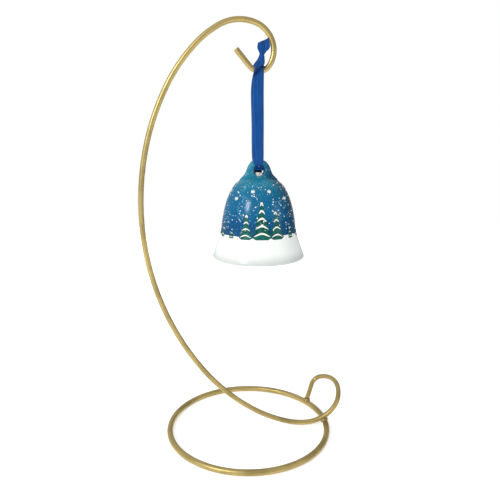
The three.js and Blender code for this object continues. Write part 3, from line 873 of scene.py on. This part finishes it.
long_strands()
ribbon_knot()
turned_edge()
cut_end(
    "ribbon_end_near", "ribbon_tail_front",
    [(0.7, 9.4), (-0.3, 11.6), (-1.1, 13.6), (-0.8, 16.3)],
    [(3.0, 9.4), (4.4, 11.2), (6.7, 14.0), (5.8, 19.3)], -0.7, 0.4,
)
cut_end(
    "ribbon_end_far", "ribbon_tail_back",
    [(0.9, 9.4), (0.3, 11.6), (-0.2, 14.0), (0.3, 17.0)],
    [(2.9, 9.4), (4.2, 11.2), (6.3, 13.4), (6.9, 15.6)], 1.0, 2.2,
)


# ---------------------------------------------------------------- bell
def bezier(points, count):
    t = np.linspace(0, 1, count)[:, None]
    a, b, c, d = (np.array(p, float) for p in points)
    return (1 - t) ** 3 * a + 3 * (1 - t) ** 2 * t * b + 3 * (1 - t) * t**2 * c + t**3 * d


def outside_profile():
    """(radius, height above the mouth) from the crown down to the lip."""
    crown = bezier(
        [(0, CROWN_HEIGHT), (0.55 * SHOULDER_RADIUS, CROWN_HEIGHT),
         (0.9 * SHOULDER_RADIUS, (CROWN_HEIGHT + SHOULDER_HEIGHT) / 2),
         (SHOULDER_RADIUS, SHOULDER_HEIGHT)], 40
    )
    middle = bezier(
        [(SHOULDER_RADIUS, SHOULDER_HEIGHT), ((SHOULDER_RADIUS + WAIST_RADIUS) / 2, SHOULDER_HEIGHT - 5),
         (WAIST_RADIUS - 1.1, WAIST_HEIGHT + 8), (WAIST_RADIUS, WAIST_HEIGHT)], 40
    )
    skirt = bezier(
        [(WAIST_RADIUS, WAIST_HEIGHT), (WAIST_RADIUS + 1.1, WAIST_HEIGHT - 9),
         (MOUTH_RADIUS - 2.9, WALL / 2 + 8), (MOUTH_RADIUS, WALL / 2)], 40
    )
    return np.concatenate((crown, middle[1:], skirt[1:]))


OUTSIDE = outside_profile()


def shell_profile():
    """The closed outline of the wall, from the bore's top round the lip and back up inside."""
    along = np.gradient(OUTSIDE, axis=0)
    along /= np.linalg.norm(along, axis=1)[:, None]
    inside = OUTSIDE + np.stack((along[:, 1], -along[:, 0]), 1) * WALL
    turns = np.linspace(0, -math.pi, 14)[1:-1]
    centre = MOUTH_RADIUS - WALL / 2
    lip = np.stack((centre + WALL / 2 * np.cos(turns), WALL / 2 * (1 + np.sin(turns))), 1)
    outer = OUTSIDE[OUTSIDE[:, 0] > BORE_RADIUS]
    inner = inside[::-1][inside[::-1, 0] > BORE_RADIUS]
    top = [(BORE_RADIUS, CROWN_HEIGHT)]
    bottom = [(BORE_RADIUS, CROWN_HEIGHT - WALL)]
    return np.concatenate((top, outer, lip, inner, bottom)), len(top) + len(outer) + len(lip)


def lug_outline():
    hole = HOLE[2] - MOUTH_Z
    half = [
        (LUG_FOOT + LUG_FLARE, hole - LUG_FOOT_DROP - LUG_FLARE), (LUG_FOOT, hole - LUG_FOOT_DROP),
        ((LUG_FOOT + LUG_SHOULDER) / 2, hole),
        (LUG_SHOULDER, hole + 0.45 * LUG_RADIUS), (0.6 * LUG_SHOULDER, hole + 0.9 * LUG_RADIUS),
        (0, hole + LUG_RADIUS),
    ]
    left = [(-x, z) for x, z in half[-2::-1]]
    arch = smooth_rows(half + left, 8)
    root = hole - LUG_FOOT_DROP - 2 * LUG_FLARE
    spread = LUG_FOOT + LUG_FLARE
    return np.concatenate((arch, [(-spread, root), (spread, root)]))


def lug_body():
    outline = lug_outline()
    along = np.roll(outline, -1, 0) - np.roll(outline, 1, 0)
    along /= np.linalg.norm(along, axis=1)[:, None]
    inwards = np.stack((-along[:, 1], along[:, 0]), 1)
    rings = []
    half = LUG_THICKNESS / 2
    turns = np.linspace(0, math.pi / 2, 6)
    layers = [(LUG_EDGE * (1 - math.sin(a)), half - LUG_EDGE * (1 - math.cos(a))) for a in turns]
    layers = layers + [(inset, -depth) for inset, depth in reversed(layers)]
    for inset, depth in layers:
        flat = outline + inwards * inset
        rings.append(np.stack((HANG_X + flat[:, 0], np.full(len(flat), depth), MOUTH_Z + flat[:, 1]), 1))
    piece = make_piece("lug_body", *stacked(rings), PAINTED_SKY)
    face_outwards(piece)
    return piece


def hole_cutter():
    half = LUG_THICKNESS / 2
    profile = [(HOLE_RADIUS + HOLE_FLARE + 0.6, half + 1), (HOLE_RADIUS + HOLE_FLARE, half)]
    profile += [(HOLE_RADIUS + HOLE_FLARE * (1 - math.sin(a)), half - 1.4 * HOLE_FLARE * math.sin(a))
                for a in (0.5, 1.0, 1.5)]
    profile = profile + [(r, -d) for r, d in reversed(profile)]
    turns = np.arange(48) * 2 * math.pi / 48
    rings = [
        np.stack((HANG_X + r * np.cos(turns), np.full(48, d), HOLE[2] + r * np.sin(turns)), 1)
        for r, d in profile
    ]
    piece = make_piece("hole_cutter", *stacked(rings), PAINTED_SKY)
    face_outwards(piece)
    return piece


def bore_cutter():
    turns = np.arange(32) * 2 * math.pi / 32
    rings = [
        np.stack((HANG_X + BORE_RADIUS * np.cos(turns), BORE_RADIUS * np.sin(turns), np.full(32, z)), 1)
        for z in (HOLE[2], CEILING - 2)
    ]
    piece = make_piece("bore_cutter", *stacked(rings), PAINTED_SKY)
    face_outwards(piece)
    return piece


def combine(piece, other, operation):
    cut = piece.modifiers.new("combine", "BOOLEAN")
    cut.operation = operation
    cut.solver = "MANIFOLD"
    cut.object = other
    with_modifiers(piece)
    bpy.data.objects.remove(other)


# How far the lug's blend into the crown reaches past the lug, sideways and front to back.
BLEND_SIDE = 6.5
BLEND_DEPTH = 5


def onto_profile(piece, profile, inner_start):
    """Moves the shell's points exactly onto its turned wall, away from the lug and the bore."""
    mesh = piece.data
    points = np.zeros(len(mesh.vertices) * 3)
    mesh.vertices.foreach_get("co", points)
    points = points.reshape(-1, 3) / MM
    across = points[:, 0] - HANG_X
    radius = np.hypot(across, points[:, 1])
    flat = np.stack((radius, points[:, 2] - MOUTH_Z), 1)
    fine = smooth_rows(profile, 12)
    inner = np.arange(len(fine)) / 12 >= inner_start
    along = np.gradient(fine, axis=0)
    along /= np.linalg.norm(along, axis=1)[:, None] + 1e-12
    nearest = np.zeros(len(flat), int)
    for i in range(0, len(flat), 4000):
        part = flat[i : i + 4000]
        gaps = ((part[:, None, :] - fine[None]) ** 2).sum(2)
        nearest[i : i + 4000] = gaps.argmin(1)
    foot = fine[nearest]
    direction = along[nearest]
    snapped = foot + direction * ((flat - foot) * direction).sum(1)[:, None]
    on_inside = inner[nearest]
    from_lug = np.hypot(across / (LUG_FOOT + BLEND_SIDE), points[:, 1] / (LUG_THICKNESS / 2 + BLEND_DEPTH))
    outside_share = np.where(flat[:, 1] > 36, np.clip((from_lug - 0.8) / 0.25, 0, 1), 1)
    inside_share = np.clip((radius - 2.2) / 1.2, 0, 1)
    share = np.where(on_inside, inside_share, outside_share)
    share = share * share * (3 - 2 * share)
    moved = flat + (snapped - flat) * share[:, None]
    scale = moved[:, 0] / np.maximum(radius, 1e-9)
    points[:, 0] = HANG_X + across * scale
    points[:, 1] *= scale
    points[:, 2] = MOUTH_Z + moved[:, 1]
    mesh.vertices.foreach_set("co", (points * MM).ravel())
    mesh.update()
    return on_inside


def porcelain_bell():
    profile, inner_start = shell_profile()
    middle = np.array([HANG_X, 0, MOUTH_Z])
    bell = turned("porcelain_bell", profile, middle, PAINTED_SKY, 120)
    combine(bell, lug_body(), "UNION")
    combine(bell, hole_cutter(), "DIFFERENCE")
    combine(bell, bore_cutter(), "DIFFERENCE")
    remesh = bell.modifiers.new("even", "REMESH")
    remesh.mode = "VOXEL"
    remesh.voxel_size = 0.5 * MM
    relax = bell.modifiers.new("relax", "SMOOTH")
    relax.factor = 0.5
    relax.iterations = 6
    with_modifiers(bell)
    on_inside = onto_profile(bell, profile, inner_start)
    mesh = bell.data
    mesh.materials.clear()
    mesh.materials.append(PAINTED_SKY)
    mesh.materials.append(WHITE_GLAZE)
    for face in mesh.polygons:
        inner = all(on_inside[v] for v in face.vertices)
        face.material_index = int(inner and face.center.z < CEILING * MM + 0.001)
    mesh.shade_smooth()
    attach(bell, "bell")
    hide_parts("bell_shell")


porcelain_bell()


# ---------------------------------------------------------------- painted winter pattern
# A plain pattern of firs and snow. Outlines are (along, up): the way round the bell at its waist,
# from the front, and the height above its mouth.
ROUND = 2 * math.pi * WAIST_RADIUS
DRIFT_TOP = 15.6
SMALL_FIRS = 13
CRYSTALS = 11
SNOW_DOTS = 420


def bell_point(turn, up, lift):
    """A place on the bell's outside, raised by lift. Turn 0 faces the front."""
    radius = float(np.interp(-up, -OUTSIDE[:, 1], OUTSIDE[:, 0]))
    lower = float(np.interp(-(up - 0.5), -OUTSIDE[:, 1], OUTSIDE[:, 0]))
    slope = math.atan2(lower - radius, 0.5)
    radius += lift * math.cos(slope)
    return HANG_X + radius * math.sin(turn), -radius * math.cos(turn), MOUTH_Z + up + lift * math.sin(slope)


def brush_line(points, width):
    """A painted line that thins at both ends."""
    line = smooth_rows(np.array(points, float), 5)
    along = np.gradient(line, axis=0)
    along /= np.linalg.norm(along, axis=1)[:, None]
    side = np.stack((-along[:, 1], along[:, 0]), 1)
    half = width / 2 * (0.25 + 0.75 * np.sin(np.linspace(0, math.pi, len(line))))
    return np.concatenate((line + side * half[:, None], (line - side * half[:, None])[::-1]))


def crystal(along, up, radius, arms=6):
    turns = np.arange(2 * arms) * math.pi / arms
    reach = np.where(np.arange(2 * arms) % 2, 0.3 * radius, radius)
    return np.stack((along + reach * np.sin(turns), up + reach * np.cos(turns)), 1)


def inlay(name, outlines, material, lift, cell=1.2):
    """Fired colour a little proud of the glaze, as thin closed patches that follow the bell."""
    bm = bmesh.new()
    for outline in outlines:
        verts = [bm.verts.new((x, 0, z)) for x, z in outline]
        bm.faces.new(verts)
    bmesh.ops.triangulate(bm, faces=bm.faces[:])
    raised = bmesh.ops.extrude_face_region(bm, geom=bm.faces[:])
    upper = [g for g in raised["geom"] if isinstance(g, bmesh.types.BMVert)]
    bmesh.ops.translate(bm, vec=(0, 1, 0), verts=upper)
    for axis, normal in ((0, (1, 0, 0)), (2, (0, 0, 1))):
        low = min(v.co[axis] for v in bm.verts)
        high = max(v.co[axis] for v in bm.verts)
        for i in range(1, math.ceil((high - low) / cell)):
            plane = [0, 0, 0]
            plane[axis] = low + i * cell
            geometry = bm.verts[:] + bm.edges[:] + bm.faces[:]
            bmesh.ops.bisect_plane(bm, geom=geometry, plane_co=plane, plane_no=normal, dist=1e-5)
    for vert in bm.verts:
        level = lift if vert.co.y > 0.5 else -0.1
        vert.co = Vector(bell_point(vert.co.x / WAIST_RADIUS, vert.co.z, level)) * MM
    bmesh.ops.recalc_face_normals(bm, faces=bm.faces[:])
    mesh = bpy.data.meshes.new(name)
    bm.to_mesh(mesh)
    bm.free()
    mesh.materials.append(material)
    piece = bpy.data.objects.new(name, mesh)
    bpy.context.scene.collection.objects.link(piece)
    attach(piece, "bell")
    return piece


SNOW_WHITE = enamel("snow_white_enamel", (0.86, 0.86, 0.80), (0.70, 0.72, 0.66))
FIR = enamel("fir_green_enamel", (0.004, 0.07, 0.055), (0.008, 0.12, 0.10))


def fir_tiers(along, foot, height, width, tiers):
    """Each tier's height and half width, from the top down."""
    return [(foot + height * (1 - i / tiers), width / 2 * i / tiers) for i in range(1, tiers + 1)]


def fir_tree(along, foot, height, width, tiers):
    """A fir with tiers of drooping boughs, the lowest of them on the snow."""
    right = []
    for level, out in fir_tiers(along, foot, height, width, tiers):
        right.append((along + out, level + 0.06 * height))
        right.append((along + 0.45 * out, level + 0.10 * height))
    right[-1] = (along + 0.6 * width / 2, foot)
    left = [(2 * along - x, z) for x, z in reversed(right)]
    return np.array([(along, foot + height)] + right + left)


def snow_on_boughs(along, foot, height, width, tiers):
    lines = []
    for level, out in fir_tiers(along, foot, height, width, tiers):
        tip = level + 0.09 * height
        middle = level + 0.17 * height
        places = [(along - 0.8 * out, tip), (along, middle), (along + 0.8 * out, tip)]
        lines.append(brush_line(places, 0.05 * height))
    return lines


def winter_pattern():
    """Three tall firs at the front, small ones all round, snow crystals near the shoulder and loose snow."""
    random.seed(7)
    firs = [(0, DRIFT_TOP, 23, 12, 5), (-10, DRIFT_TOP, 16, 8.5, 4), (9.5, DRIFT_TOP, 18, 9, 4)]
    spacing = (ROUND - 40) / (SMALL_FIRS - 1)
    for i in range(SMALL_FIRS):
        firs.append((20 + i * spacing, DRIFT_TOP, random.uniform(6, 12), random.uniform(4, 6), 3))
    inlay("painted_fir_trees", [fir_tree(*fir) for fir in firs], FIR, 0.05, 0.8)
    snow = [line for fir in firs for line in snow_on_boughs(*fir)]
    inlay("painted_bough_snow", snow, SNOW_WHITE, 0.10, 0.8)
    crystals = []
    for i in range(CRYSTALS):
        crystals.append(crystal((i + 0.5) * ROUND / CRYSTALS, 44.5 - 4.5 * (i % 2), 1.7))
    inlay("painted_snow_crystals", crystals, SNOW_WHITE, 0.08, 0.8)
    flakes = []
    for i in range(SNOW_DOTS):
        size = random.choice((0.16, 0.22, 0.3, 0.42))
        flakes.append((random.uniform(-math.pi, math.pi), random.uniform(19.5, 49.5), size))
    snow_dots("painted_snowflakes", flakes)


def snow_dots(name, flakes):
    """Small raised drops of white enamel at (turn, height, radius) round the bell."""
    points = []
    faces = []
    sides = 10
    for turn, height, size in flakes:
        radius = float(np.interp(-height, -OUTSIDE[:, 1], OUTSIDE[:, 0]))
        start = len(points)
        for share, lift in ((1, -0.1), (1, 0.03), (0.75, 0.09), (0.4, 0.13)):
            for i in range(sides):
                a = 2 * math.pi * i / sides
                side = size * share * math.cos(a) / radius
                points.append(bell_point(turn + side, height + size * share * math.sin(a), lift))
        points.append(bell_point(turn, height, 0.14))
        points.append(bell_point(turn, height, -0.1))
        for level in range(3):
            for i in range(sides):
                k = (i + 1) % sides
                a = start + level * sides
                faces.append((a + i, a + k, a + sides + k, a + sides + i))
        for i in range(sides):
            k = (i + 1) % sides
            faces.append((start + 3 * sides + i, start + 3 * sides + k, start + 4 * sides))
            faces.append((start + i, start + k, start + 4 * sides + 1))
    piece = make_piece(name, points, faces, SNOW_WHITE)
    face_outwards(piece)
    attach(piece, "bell")


winter_pattern()


# ---------------------------------------------------------------- floor and light
def studio():
    material, tree, shader = new_material("pale_floor", Roughness=0.8)
    shader.inputs["Emission Color"].default_value = (1, 1, 1, 1)
    place = tree.nodes.new("ShaderNodeTexCoord").outputs["Object"]
    colour = mix_colour(tree, cloud(tree, place, 3.0, 2.0), (0.90, 0.90, 0.90), (0.93, 0.93, 0.93))
    wire_up(tree, colour, shader.inputs["Base Color"])
    # It glows like a lit studio sweep, more so away from the product.
    away = add_node(tree, "ShaderNodeVectorMath", operation="LENGTH")
    wire_up(tree, place, away.inputs[0])
    far = band(tree, away.outputs["Value"], 0.15, 0.7)
    wire_up(tree, math_node(tree, "MULTIPLY_ADD", far, 0.45, 0.42), shader.inputs["Emission Strength"])
    size = 900
    corners = [(-size, -size, 0), (size, -size, 0), (size, size, 0), (-size, size, 0)]
    floor = make_piece("floor", corners, [(0, 1, 2, 3)], material)
    world = bpy.data.worlds.new("studio")
    world.use_nodes = True
    tree = world.node_tree
    seen = tree.nodes.new("ShaderNodeLightPath")
    plain = tree.nodes["Background"]
    plain.inputs["Color"].default_value = (0.86, 0.88, 0.90, 1)
    # The room is brighter overhead and towards the key light, and dimmer to the right.
    heading = tree.nodes.new("ShaderNodeTexCoord").outputs["Generated"]
    towards = add_node(tree, "ShaderNodeVectorMath", operation="DOT_PRODUCT")
    wire_up(tree, heading, towards.inputs[0])
    towards.inputs[1].default_value = (-0.45, -0.1, 0.85)
    glow = band(tree, towards.outputs["Value"], -0.9, 0.9)
    wire_up(tree, math_node(tree, "MULTIPLY_ADD", glow, 0.75, 0.15), plain.inputs["Strength"])
    backdrop = add_node(tree, "ShaderNodeBackground", Strength=1.0)
    backdrop.inputs["Color"].default_value = (1, 1, 1, 1)
    mix = tree.nodes.new("ShaderNodeMixShader")
    wire_up(tree, seen.outputs["Is Camera Ray"], mix.inputs[0])
    wire_up(tree, plain.outputs[0], mix.inputs[1])
    wire_up(tree, backdrop.outputs[0], mix.inputs[2])
    wire_up(tree, mix.outputs[0], tree.nodes["World Output"].inputs["Surface"])
    bpy.context.scene.world = world
    softbox("key_light", (-500, -520, 500), 190, 3.0)
    softbox("fill_light", (480, -300, 260), 300, 0.35)
    bpy.context.scene.view_settings.view_transform = "Standard"


def softbox(name, place, size, power):
    data = bpy.data.lights.new(name, "AREA")
    data.shape = "DISK"
    data.size = size * MM
    data.energy = power
    light = bpy.data.objects.new(name, data)
    bpy.context.scene.collection.objects.link(light)
    light.location = Vector(place) * MM
    target = Vector((HANG_X, 0, 150)) * MM
    light.rotation_euler = (target - light.location).to_track_quat("-Z", "Y").to_euler()


studio()
